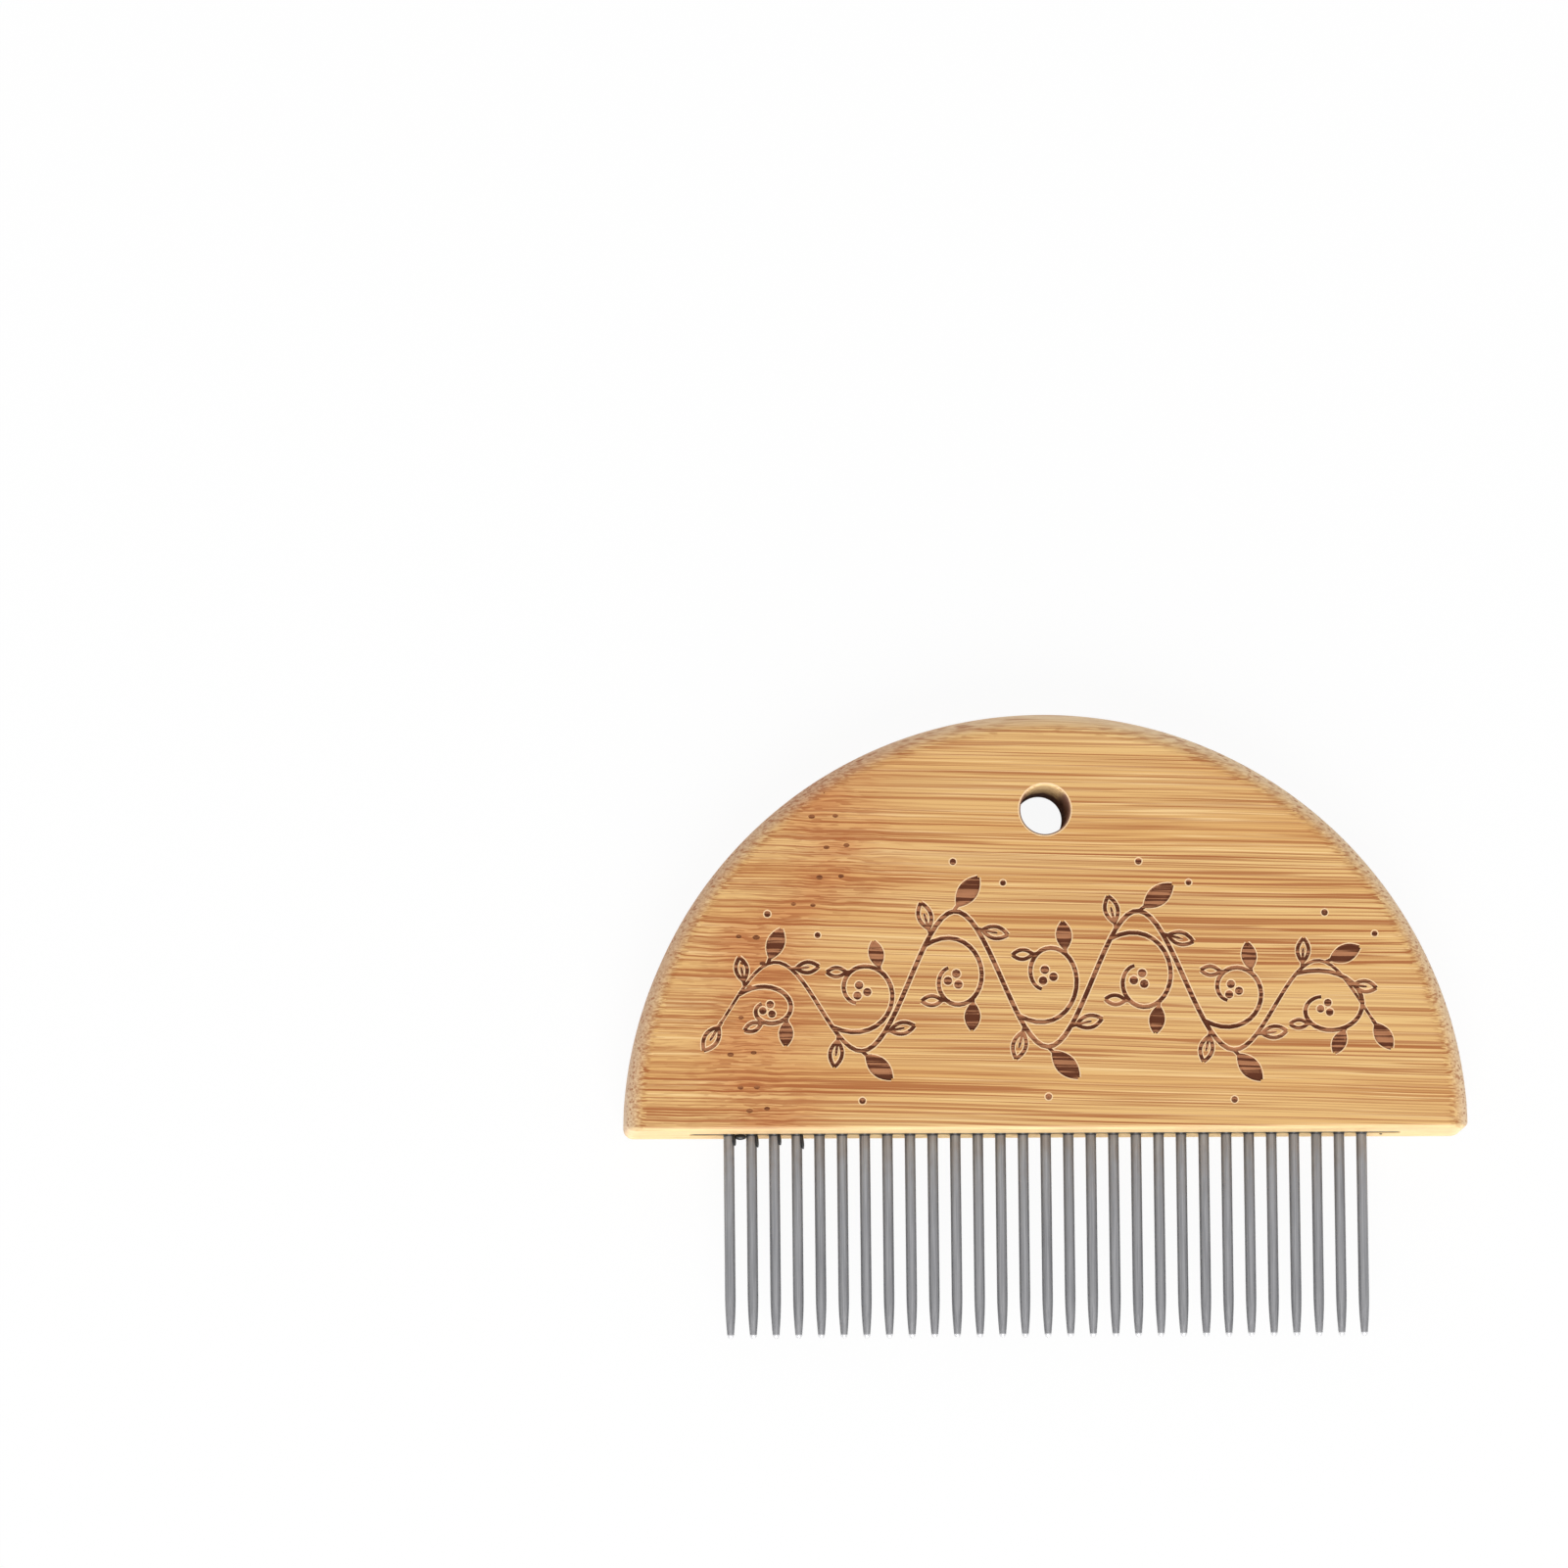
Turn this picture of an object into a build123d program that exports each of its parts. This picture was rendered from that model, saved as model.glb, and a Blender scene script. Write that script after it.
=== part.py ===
from build123d import *
import os

# Weaving comb: a half-disc bamboo handle with a row of steel pins potted in a slot in
# its straight edge. All sizes are in millimetres.
#
# The comb lies on its back. X runs along the row of pins, the pins point to -Y, and
# +Z is the decorated front face. The origin is under the middle of the whole comb.

# Handle
handle_radius = 47.3
handle_thickness = 10.0
# how far the straight edge is sawn above the diameter of the disc
edge_above_centre = 0.3
# bevel that eases the curved edge, front and back
rim_bevel = 1.3
# bevel that eases everything round the straight edge, its two corners included
edge_bevel = 0.8

# Hanging hole, on the centre line near the top of the curve
hanging_hole_diameter = 5.5
hanging_hole_height = 36.0
hole_bevel = 0.4

# Pins
pin_count = 29
pin_pitch = 2.54
pin_diameter = 1.2
pin_reach = 22.9
taper_length = 4.9
tip_diameter = 0.7

# Slot in the straight edge, with round ends as the router bit leaves them. The pins
# stand on its floor, and these are the spaces beside and past the row of pins.
slot_depth = 10.0
slot_side_clearance = 0.4
slot_end_clearance = 3.84

# Black resin that fills the slot round the pins
resin_below_edge = 0.1

# Places worked out from the sizes above
mid_thickness = handle_thickness / 2
crown_height = handle_radius - edge_above_centre
comb_height = crown_height + pin_reach
# where the straight edge lies, so that the origin is the middle of the whole comb
edge_y = pin_reach - comb_height / 2
slot_floor_y = edge_y + slot_depth
pin_row_length = (pin_count - 1) * pin_pitch
slot_width = pin_diameter + 2 * slot_side_clearance
slot_length = pin_row_length + pin_diameter + 2 * slot_end_clearance


def plane_across_pins(y):
    """The plane square to the pins at height y, that faces the handle."""
    return Plane((0, y, mid_thickness), x_dir=(1, 0, 0), z_dir=(0, 1, 0))


def make_slot_solid(start_y, length):
    """A bar with round ends that runs along the slot, from start_y towards +Y."""
    section = plane_across_pins(start_y) * SlotOverall(slot_length, slot_width)
    return extrude(section, amount=length)


def make_handle():
    """The bamboo handle: a disc with an eased rim, sawn in half, drilled and slotted."""
    disc_centre = Pos(0, edge_y - edge_above_centre, mid_thickness)
    disc = Cylinder(handle_radius, handle_thickness)
    disc = chamfer(disc.edges().filter_by(GeomType.CIRCLE), rim_bevel)
    handle = split(disc_centre * disc, Plane.XZ.offset(-edge_y), keep=Keep.BOTTOM)

    straight_edge = handle.faces().sort_by(Axis.Y)[0]
    handle = chamfer(straight_edge.edges(), edge_bevel)

    hole_centre = Pos(0, edge_y + hanging_hole_height, mid_thickness)
    handle -= hole_centre * Cylinder(hanging_hole_diameter / 2, handle_thickness)
    hole_rims = (
        handle.edges()
        .filter_by(GeomType.CIRCLE)
        .filter_by(lambda edge: abs(edge.radius - hanging_hole_diameter / 2) < 1e-6)
    )
    handle = chamfer(hole_rims, hole_bevel)

    return handle - make_slot_solid(edge_y, slot_depth)


def round_section(y, diameter):
    """A round section across a pin. As an ellipse it lofts into a taper of few facets."""
    return plane_across_pins(y) * Ellipse(diameter / 2, diameter / 2)


def make_pin(number):
    """One pin, counted from the left: a round shank whose end tapers to a blunt tip."""
    x = (number - 1) * pin_pitch - pin_row_length / 2
    tip_y = edge_y - pin_reach
    taper_start_y = tip_y + taper_length

    shank_section = plane_across_pins(taper_start_y) * Circle(pin_diameter / 2)
    shank = extrude(shank_section, amount=slot_floor_y - taper_start_y)
    taper = loft(
        [round_section(tip_y, tip_diameter), round_section(taper_start_y, pin_diameter)],
        ruled=True,
    )
    return Pos(x, 0, 0) * (shank + taper)


def make_resin_bed(pins):
    """The resin in the slot, cast round the buried ends of the pins."""
    bed = make_slot_solid(edge_y + resin_below_edge, slot_depth - resin_below_edge)
    return bed - pins


os.makedirs("parts", exist_ok=True)
pins = [make_pin(number) for number in range(1, pin_count + 1)]
export_step(make_handle(), "parts/handle.step")
export_step(make_resin_bed(pins), "parts/resin_bed.step")
for number, pin in enumerate(pins, start=1):
    export_step(pin, f"parts/pin_{number:02d}.step")
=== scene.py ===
import math
import random

import bmesh
import bpy
from mathutils import Matrix, Vector


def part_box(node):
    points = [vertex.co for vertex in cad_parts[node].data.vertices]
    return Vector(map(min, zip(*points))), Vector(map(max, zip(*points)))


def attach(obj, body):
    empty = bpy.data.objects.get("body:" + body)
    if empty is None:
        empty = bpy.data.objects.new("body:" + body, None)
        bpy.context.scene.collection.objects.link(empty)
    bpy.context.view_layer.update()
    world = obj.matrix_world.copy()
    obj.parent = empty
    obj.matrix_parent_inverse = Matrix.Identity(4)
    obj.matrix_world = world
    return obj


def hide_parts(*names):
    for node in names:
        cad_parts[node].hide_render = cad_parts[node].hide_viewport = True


bl_info = {
    "name": "Weaving Comb Dressing",
    "version": (1, 0, 0),
    "blender": (4, 5, 0),
    "location": "View3D > Sidebar > Comb",
    "description": "Dresses a packed bamboo weaving comb: handle, steel pins, resin and a studio stage",
    "category": "Object",
}

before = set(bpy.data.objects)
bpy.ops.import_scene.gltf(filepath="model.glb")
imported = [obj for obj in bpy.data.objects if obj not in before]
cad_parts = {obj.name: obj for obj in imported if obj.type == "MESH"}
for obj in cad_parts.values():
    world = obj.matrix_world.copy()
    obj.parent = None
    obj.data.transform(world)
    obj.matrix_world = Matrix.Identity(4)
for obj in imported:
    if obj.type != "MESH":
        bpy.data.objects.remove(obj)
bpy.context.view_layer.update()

MM = 0.001
BODY = "root"
# Points nearer to each other than this count as level
LEVEL = 0.001 * MM

# Places taken from the frame
HANDLE_LOW, HANDLE_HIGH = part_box("handle")
PIN_NODES = sorted(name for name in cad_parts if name.startswith("pin_"))
PIN_LOW, PIN_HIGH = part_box(PIN_NODES[0])
RESIN_LOW, RESIN_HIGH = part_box("resin_bed")
EDGE_Y = HANDLE_LOW.y
CROWN_Y = HANDLE_HIGH.y
FRONT_Z = HANDLE_HIGH.z
MID_Z = (HANDLE_LOW.z + HANDLE_HIGH.z) / 2
SLOT_FLOOR_Y = PIN_HIGH.y
TIP_Y = PIN_LOW.y

# The handle's outline and its two openings
EDGE_ABOVE_CENTRE = 0.3 * MM
DISC_RADIUS = CROWN_Y - EDGE_Y + EDGE_ABOVE_CENTRE
HOLE_RADIUS = 2.75 * MM
HOLE_HEIGHT = 36.0 * MM
HOLE_Y = EDGE_Y + HOLE_HEIGHT
RIM_SEGMENTS = 360
ROUNDING_SEGMENTS = 6
HOLE_SEGMENTS = 96
SLOT_SEGMENTS = 34
PIN_SEGMENTS = 28
# The resin's collars and the engraved dots are small
SMALL_ROUND_SEGMENTS = 20


def tint(red, green, blue):
    """A colour given by its 0 to 255 screen values, as the linear values that shaders take."""
    def linear(value):
        share = value / 255
        return share / 12.92 if share <= 0.04045 else ((share + 0.055) / 1.055) ** 2.4
    return (linear(red), linear(green), linear(blue))


# Sizes and colours that a user would change

def length(label, about, millimetres):
    """A length property that shows its unit in the sidebar."""
    return bpy.props.FloatProperty(
        name=label, description=about, default=millimetres * MM, min=0.0, precision=5,
        unit="LENGTH", subtype="DISTANCE",
    )


def paint(label, about, colour):
    """A colour property."""
    return bpy.props.FloatVectorProperty(
        name=label, description=about, default=colour, min=0.0, max=1.0, size=3, subtype="COLOR",
    )


class CombHandleSizes(bpy.types.PropertyGroup):
    rim_rounding: length("Rim rounding", "Radius sanded on the curved edge, front and back", 2.3)
    edge_rounding: length("Edge rounding", "Radius along the straight edge, front and back", 0.5)
    corner_rounding: length("Corner rounding", "Radius at both ends of the straight edge", 1.1)
    hole_rounding: length("Hole rounding", "Radius at both mouths of the hanging hole", 0.3)
    hole_taper: length("Hole taper", "How much narrower the burnt hole is at its back, each side", 0.12)
    pore_radius: length("Pore radius", "Radius of the small pores along the bamboo's node", 0.26)


class CombEngravingSizes(bpy.types.PropertyGroup):
    line_width: length("Line width", "Width of a burnt line where it leaves the surface", 0.5)
    line_depth: length("Line depth", "Depth of a burnt line at its middle", 0.2)
    # The pale rim is partly heat-dried wood and partly a painted highlight
    rim_width: length("Pale rim width", "Width of the pale heated rim beside a line", 0.13)
    rim_depth: length("Pale rim depth", "How far the pale rim dips before the burnt line starts", 0.03)
    pocket_depth: length("Pocket depth", "Depth of the filled leaves", 0.14)
    dot_radius: length("Dot radius", "Radius of the burnt seeds round the vine", 0.36)


class CombPinSizes(bpy.types.PropertyGroup):
    taper_length: length("Taper length", "Length of the curved taper above the nose", 4.6)
    nose_radius: length("Nose radius", "Radius of the domed nose", 0.38)


class CombResinSizes(bpy.types.PropertyGroup):
    collar_height: length("Collar height", "How far the resin climbs each pin", 0.35)
    collar_width: length("Collar width", "How far the climbing resin spreads from each pin", 0.32)


class CombFinishColours(bpy.types.PropertyGroup):
    bamboo_pale: paint("Bamboo, pale", "Pale ground between the fibres", tint(229, 189, 125))
    bamboo_warm: paint("Bamboo, warm", "Warm ground tone", tint(218, 168, 102))
    bamboo_gleam: paint("Bamboo gleam", "Palest streaks beside the fibres", tint(248, 214, 156))
    bamboo_fibre: paint("Bamboo fibre", "Dark fibre bundles", tint(160, 86, 34))
    bamboo_node: paint("Bamboo node", "Tint round the plant's node", tint(204, 134, 78))
    # Partly painted light: the rim's end grain, made paler to offset the shade that the rim takes from the
    # lamps
    bamboo_rim: paint("Bamboo rim", "Greyer tan of the rim's end grain", tint(240, 214, 180))
    # Painted shade: a browner tone for the upper left rim, which faces away from the lamps
    bamboo_rim_shade: paint("Bamboo rim, brown", "Browner tone of the upper left rim", tint(182, 126, 92))
    # Painted highlight: a cream tone for the straight edge's flank and rounding, standing in for the light
    # from below
    bamboo_edge_highlight: paint("Bamboo, sawn", "Cream tone of the sawn straight edge", tint(250, 226, 172))
    scorch_dark: paint("Scorch, dark", "Deepest burnt brown of the engraving", tint(94, 50, 30))
    scorch_light: paint("Scorch, light", "Burnt brown where hard fibres resist", tint(178, 122, 86))
    steel: paint("Steel", "Colour of the pins", tint(163, 163, 165))
    steel_scratch: paint("Steel scratch", "Darker scratches along the pins", tint(118, 118, 122))
    resin: paint("Resin", "Colour of the potting resin", tint(26, 24, 24))


# Shader maths

class Wire:
    """One socket of a node tree that takes part in Python arithmetic."""

    def __init__(self, wiring, socket):
        self.wiring = wiring
        self.socket = socket

    def _math(self, operation, first, second):
        return self.wiring.node("ShaderNodeMath", {"operation": operation}, {0: first, 1: second})

    def __add__(self, other):
        return self._math("ADD", self, other)

    def __radd__(self, other):
        return self._math("ADD", other, self)

    def __sub__(self, other):
        return self._math("SUBTRACT", self, other)

    def __rsub__(self, other):
        return self._math("SUBTRACT", other, self)

    def __mul__(self, other):
        return self._math("MULTIPLY", self, other)

    def __rmul__(self, other):
        return self._math("MULTIPLY", other, self)

    def __truediv__(self, other):
        return self._math("DIVIDE", self, other)

    def __rtruediv__(self, other):
        return self._math("DIVIDE", other, self)

    def __pow__(self, other):
        return self._math("POWER", self, other)

    def __rpow__(self, other):
        return self._math("POWER", other, self)


class Wiring:
    """A node tree under construction."""

    def __init__(self, tree):
        self.tree = tree

    def node(self, kind, settings=None, inputs=None, output=0):
        """Adds a node: its settings first, then the values or wires of its sockets."""
        node = self.tree.nodes.new(kind)
        for name, value in (settings or {}).items():
            setattr(node, name, value)
        for name, value in (inputs or {}).items():
            self.feed(node.inputs[name], value)
        return Wire(self, node.outputs[output])

    def feed(self, socket, value):
        """Links a wire to a socket, or sets the socket's value."""
        if isinstance(value, Wire):
            self.tree.links.new(value.socket, socket)
        elif isinstance(value, tuple) and socket.type == "RGBA":
            socket.default_value = (*value, 1)
        else:
            socket.default_value = value

    def larger(self, first, second):
        return self.node("ShaderNodeMath", {"operation": "MAXIMUM"}, {0: first, 1: second})

    def sine(self, wire):
        return self.node("ShaderNodeMath", {"operation": "SINE"}, {0: wire})

    def vector(self, x, y, z):
        return self.node("ShaderNodeCombineXYZ", {}, {0: x, 1: y, 2: z})

    def place(self, turn=0.0):
        """Where a point of the surface lies, in millimetres, after a turn about Z."""
        coordinates = self.node("ShaderNodeTexCoord", output="Object")
        mapped = self.node(
            "ShaderNodeMapping",
            {"vector_type": "POINT"},
            {"Vector": coordinates, "Rotation": (0, 0, turn), "Scale": (1 / MM, 1 / MM, 1 / MM)},
        )
        return [self.node("ShaderNodeSeparateXYZ", {}, {0: mapped}, output=axis) for axis in "XYZ"]

    def noise(self, vector, detail=2.0, roughness=0.5):
        """Noise from 0 to 1, whose lumps are about one unit of the vector apart."""
        return self.node(
            "ShaderNodeTexNoise",
            {"noise_dimensions": "3D"},
            {"Vector": vector, "Scale": 1.0, "Detail": detail, "Roughness": roughness},
        )

    def hump(self, wire, spread):
        """A soft hump: 1 where the wire is 0, fading either way, slower for a wider spread."""
        return math.e ** (-1 * (wire * wire) / spread)

    def ramp(self, wire, low, high, start=0.0, end=1.0):
        """Turns low..high smoothly into start..end, and holds the ends."""
        return self.node(
            "ShaderNodeMapRange",
            {"interpolation_type": "SMOOTHSTEP", "clamp": True},
            {"Value": wire, "From Min": low, "From Max": high, "To Min": start, "To Max": end},
        )

    def blend(self, share, first, second):
        """Mixes a share of the second colour into the first."""
        return self.node("ShaderNodeMix", {"data_type": "RGBA"}, {0: share, 6: first, 7: second}, output=2)


class Finish(Wiring):
    """A material under construction, round one Principled shader."""

    def __init__(self, name, constants=None):
        self.material = bpy.data.materials.new(name)
        self.material.use_nodes = True
        super().__init__(self.material.node_tree)
        self.shader = self.tree.nodes["Principled BSDF"]
        for socket, value in (constants or {}).items():
            self.surface(socket, value)

    def surface(self, socket, value):
        """Feeds one socket of the Principled shader."""
        self.feed(self.shader.inputs[socket], value)

    def relief(self, height, distance, strength):
        """Feeds the Normal from a height, whose full step is distance metres deep."""
        inputs = {"Height": height, "Strength": strength, "Distance": distance}
        self.surface("Normal", self.node("ShaderNodeBump", {}, inputs))


# Bamboo's grain, shared by the sanded wood and by what is burnt into it

GRAIN_TURN = math.radians(1.5)
# The plant's node crosses the handle low on the left and steps to the right above this height
NODE_STEP_Y = 12.0
NODE_STEP_SOFTNESS = 0.8
NODE_LOW_X = -33.2
NODE_HIGH_X = -24.6
NODE_WOBBLE = 1.1
NODE_WOBBLE_RATE = 0.42
# How widely the node's marks and the faint stain round them spread, in square millimetres
NODE_SPREAD = 44
STAIN_SPREAD = 300


def node_line(y):
    """Where the plant's node crosses the handle at height y, as x, both in millimetres."""
    step = 1 / (1 + math.exp((NODE_STEP_Y - y) / NODE_STEP_SOFTNESS))
    return NODE_LOW_X + (NODE_HIGH_X - NODE_LOW_X) * step + NODE_WOBBLE * math.sin(y * NODE_WOBBLE_RATE)


class Grain:
    """The fibres of the bamboo at a point, as wires that a finish can use."""

    def __init__(self, finish):
        self.finish = finish
        self.plain_x, self.plain_y, self.plain_z = finish.place()
        step = 1 / (1 + math.e ** ((NODE_STEP_Y - self.plain_y) / NODE_STEP_SOFTNESS))
        wobble = NODE_WOBBLE * finish.sine(self.plain_y * NODE_WOBBLE_RATE)
        away = self.plain_x - (NODE_LOW_X + (NODE_HIGH_X - NODE_LOW_X) * step + wobble)
        self.near_node = finish.hump(away, NODE_SPREAD)
        self.round_node = finish.hump(away, STAIN_SPREAD)
        self.stained_side = finish.ramp(away, -8, -1, start=0.3)
        left_of_node = finish.ramp(away, -9, 4, start=0.42, end=0.0)
        self.rough_zone = finish.larger(self.near_node, left_of_node)

        x, y, z = finish.place(GRAIN_TURN)
        drift = finish.noise(finish.vector(x * 0.02, y * 0.07, z * 0.07), detail=1.0) - 0.5
        ripple = (finish.noise(finish.vector(x * 0.28, y * 0.4, z * 0.4), detail=0.0) - 0.5) * self.near_node
        self.x = x
        self.y = y + drift * 1.1 + ripple * 0.45
        self.z = z + drift * 0.6 + ripple * 0.2

    def stretched(self, along, across):
        """The point's place, scaled so that a pattern changes this often per millimetre either way."""
        return self.finish.vector(self.x * along, self.y * across, self.z * across)

    def streaks(self, along, across, low, high, detail=2.0):
        """Streaks along the fibres, where a noise passes from low to high."""
        pattern = self.finish.noise(self.stretched(along, across), detail=detail, roughness=0.6)
        return self.finish.ramp(pattern, low, high)

    def lines(self, along, spacing, sway, half_width):
        """Long thin lines, by their spacing in millimetres and how many spacings they may sway.

        The half width is a share of the height of the wave that draws them.
        """
        shift = self.finish.noise(self.stretched(along, 0.9), detail=1.0) - 0.5
        wave = self.finish.sine(((self.y + self.z * 0.8) / spacing + shift * sway) * math.pi)
        return self.finish.ramp(wave * wave, 0.0, half_width ** 2, start=1.0, end=0.0)

    def bundles(self, along, across):
        """Bundles of fibres: dots where the wood is cut across, streaks where it is cut along."""
        apart = self.finish.node(
            "ShaderNodeTexVoronoi",
            {"voronoi_dimensions": "3D", "feature": "F1"},
            {"Vector": self.stretched(along, across), "Scale": 1.0},
        )
        return self.finish.ramp(apart, 0.2, 0.42, start=1.0, end=0.0)


class Rim:
    """Where a point lies on the curved rim, as wires that a finish can use."""

    # How far in from the outline the rim's tone starts to fade and has gone, in millimetres
    fade_start = 0.3
    fade_end = 2.0
    # Where the ridge of ragged fibres runs, and how widely it spreads, in square millimetres
    ridge_inset = 1.9
    ridge_spread = 0.25

    def __init__(self, grain):
        finish = grain.finish
        rise = grain.plain_y - (EDGE_Y - EDGE_ABOVE_CENTRE) / MM
        reach = (grain.plain_x * grain.plain_x + rise * rise) ** 0.5
        inset = DISC_RADIUS / MM - reach
        self.share = finish.ramp(inset, self.fade_start, self.fade_end, start=1.0, end=0.0)
        self.ridge = finish.hump(inset - self.ridge_inset, self.ridge_spread)
        # Painted shade: the rim darkens towards the upper left, where it faces away from the lamps
        self.upper_left_shade = finish.ramp(rise - grain.plain_x, 44, 64, end=0.38)


def bamboo_finish(colours):
    """Sanded and lightly oiled bamboo, with its fibres along X and a node to the left."""
    finish = Finish("bamboo_oiled", {"Specular IOR Level": 0.42})
    grain = Grain(finish)
    fibre = tuple(colours.bamboo_fibre)
    warmth = grain.streaks(along=0.006, across=0.2, low=0.3, high=0.72)
    clusters = grain.streaks(along=0.012, across=0.75, low=0.38, high=0.62)
    threads = grain.streaks(along=0.016, across=4.4, low=0.54, high=0.59, detail=1.0)
    hairs = grain.streaks(along=0.03, across=5.2, low=0.5, high=0.58, detail=1.0)
    gleams = grain.streaks(along=0.035, across=4.1, low=0.54, high=0.66)
    dashes = grain.streaks(along=0.36, across=4.2, low=0.53, high=0.57, detail=1.0)
    breaks = grain.streaks(along=0.018, across=0.8, low=0.42, high=0.56)
    lines = grain.lines(along=0.012, spacing=0.8, sway=2.4, half_width=0.5) * breaks
    patches = finish.noise(grain.stretched(along=0.16, across=0.36), detail=3.0)

    colour = finish.blend(warmth, tuple(colours.bamboo_pale), tuple(colours.bamboo_warm))
    colour = finish.blend(gleams * 0.6, colour, tuple(colours.bamboo_gleam))
    patched = finish.ramp(patches, 0.3, 0.6, start=0.26, end=0.66)
    node_stain = (grain.near_node * patched + grain.round_node * 0.06) * grain.stained_side
    colour = finish.blend(node_stain, colour, tuple(colours.bamboo_node))
    rim = Rim(grain)
    # Partly painted light: the rim is blended towards a paler tint that offsets its shade, besides showing
    # its end grain
    colour = finish.blend(rim.share * 0.68, colour, tuple(colours.bamboo_rim))
    colour = finish.blend(rim.share * rim.upper_left_shade, colour, tuple(colours.bamboo_rim_shade))

    # The long fibres fade out on the rim, where their cut ends show as dots instead
    off_rim = 1 - rim.share * 0.75
    ragged = dashes * finish.larger(grain.rough_zone, rim.ridge * 0.7)
    colour = finish.blend(hairs * off_rim * 0.32, colour, fibre)
    colour = finish.blend(threads * off_rim * (0.42 + clusters * 0.4), colour, fibre)
    colour = finish.blend(grain.bundles(along=0.02, across=2.2) * rim.share * 0.72, colour, fibre)
    colour = finish.blend(lines * off_rim * 0.72, colour, fibre)
    colour = finish.blend(ragged * 0.6, colour, fibre)
    # Painted highlight: the straight edge's flank and rounding are blended towards cream, fading out 0.6 mm
    # up the front
    sawn = finish.ramp(grain.plain_y, EDGE_Y / MM + 0.05, EDGE_Y / MM + 0.6, start=0.5, end=0.0)
    colour = finish.blend(sawn, colour, tuple(colours.bamboo_edge_highlight))
    finish.surface("Base Color", colour)
    finish.surface("Roughness", 0.46 + hairs * 0.1 + lines * 0.1)
    sunk = (threads * 0.5 + lines * 0.5 + hairs * 0.3) * off_rim + ragged * 0.5
    finish.relief(1 - sunk, 0.015 * MM, 0.6)
    return finish.material


def pale_rim_finish(colours):
    """The narrow pale edge beside a burnt line, where the heat has only dried the wood; its paleness is
    partly a painted highlight where the edge catches the light.
    """
    finish = Finish("bamboo_heated_highlight_rim")
    hairs = Grain(finish).streaks(along=0.045, across=5.6, low=0.42, high=0.72)
    finish.surface("Base Color", finish.blend(hairs * 0.4, tint(242, 208, 164), tuple(colours.bamboo_warm)))
    finish.surface("Roughness", 0.6 + hairs * 0.1)
    return finish.material


def scorched_finish(name, dark, light):
    """Burnt bamboo, striped where the harder fibres resist the heat."""
    finish = Finish(name, {"Specular IOR Level": 0.15})
    grain = Grain(finish)
    stripes = grain.streaks(along=0.06, across=2.4, low=0.47, high=0.55)
    hairs = grain.streaks(along=0.045, across=5.6, low=0.42, high=0.72)
    colour = finish.blend(stripes, dark, light)
    finish.surface("Base Color", finish.blend(hairs * 0.35, colour, dark))
    finish.surface("Roughness", 0.72 + hairs * 0.2)
    finish.relief(stripes, 0.05 * MM, 0.7)
    return finish.material


def bored_finish(colours):
    """The wall of the burnt hole: dark, but pale along the front of its upper side, where sanded bamboo is
    painted in its palest tone as a highlight of the light falling on it.
    """
    finish = Finish("bamboo_burnt_bore", {"Roughness": 0.8})
    grain = Grain(finish)
    across, up, depth = grain.plain_x, grain.plain_y, grain.plain_z
    soot = finish.noise(finish.vector(across * 0.9, up * 0.9, depth * 0.5), detail=3.0)
    # Painted highlight: the top front of the bore is painted pale, partly sanded wood and partly the light
    # that falls on it
    upper = finish.ramp(up, HOLE_Y / MM + 1.5, HOLE_Y / MM + 2.3)
    front = finish.ramp(depth + soot * 3, 4.6, 5.8)
    burnt = finish.blend(soot, tint(98, 66, 52), tint(164, 120, 98))
    hairs = grain.streaks(along=0.045, across=4.2, low=0.44, high=0.62)
    sanded_and_highlight = finish.blend(hairs * 0.5, tuple(colours.bamboo_gleam), tuple(colours.bamboo_fibre))
    finish.surface("Base Color", finish.blend(upper * front, burnt, sanded_and_highlight))
    return finish.material


def steel_finish(colours, sizes):
    """Drawn steel: fine scratches along the pin, browner and darker in patches towards the resin, a smoother
    nose painted near white as a highlight.
    """
    finish = Finish("drawn_steel", {"Metallic": 1.0})
    x, y, z = finish.place()
    scratches = finish.noise(finish.vector(x * 8, y * 0.1, z * 8), detail=3.0, roughness=0.7)
    root_mottle = finish.noise(finish.vector(x * 0.8, y * 0.5, z * 0.8), detail=2.0)
    # Browner and darker in patches over the last ten millimetres before the resin
    root_reach = 10
    root = finish.ramp(y, EDGE_Y / MM - root_reach, EDGE_Y / MM)
    nose_y = (TIP_Y + sizes.nose_radius) / MM
    nose = finish.ramp(y, nose_y - 0.05, nose_y + 0.1, start=1.0, end=0.0)
    worn = finish.ramp(scratches, 0.36, 0.66, end=0.6)
    streaked = finish.blend(worn, tuple(colours.steel), tuple(colours.steel_scratch))
    root_darkened = finish.blend(root * finish.ramp(root_mottle, 0.35, 0.7) * 0.3, streaked, tint(136, 118, 104))
    # Painted highlight: the nose is painted near white, besides being smoother, to stand in for the light it
    # catches
    finish.surface("Base Color", finish.blend(nose, root_darkened, tint(236, 236, 238)))
    finish.surface("Roughness", 0.4 + scratches * 0.2 - nose * 0.28)
    finish.relief(scratches, 0.012 * MM, 0.5)
    return finish.material


def resin_finish(colours):
    """Cured black resin with a slightly uneven gloss."""
    finish = Finish("black_resin", {"Specular IOR Level": 0.5})
    x, y, z = finish.place()
    cloud = finish.noise(finish.vector(x * 0.7, y * 0.7, z * 0.7), detail=3.0)
    finish.surface("Base Color", finish.blend(cloud * 0.4, tuple(colours.resin), tint(58, 56, 54)))
    finish.surface("Roughness", 0.22 + cloud * 0.25)
    finish.relief(cloud, 0.05 * MM, 0.5)
    return finish.material


# Meshes

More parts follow.
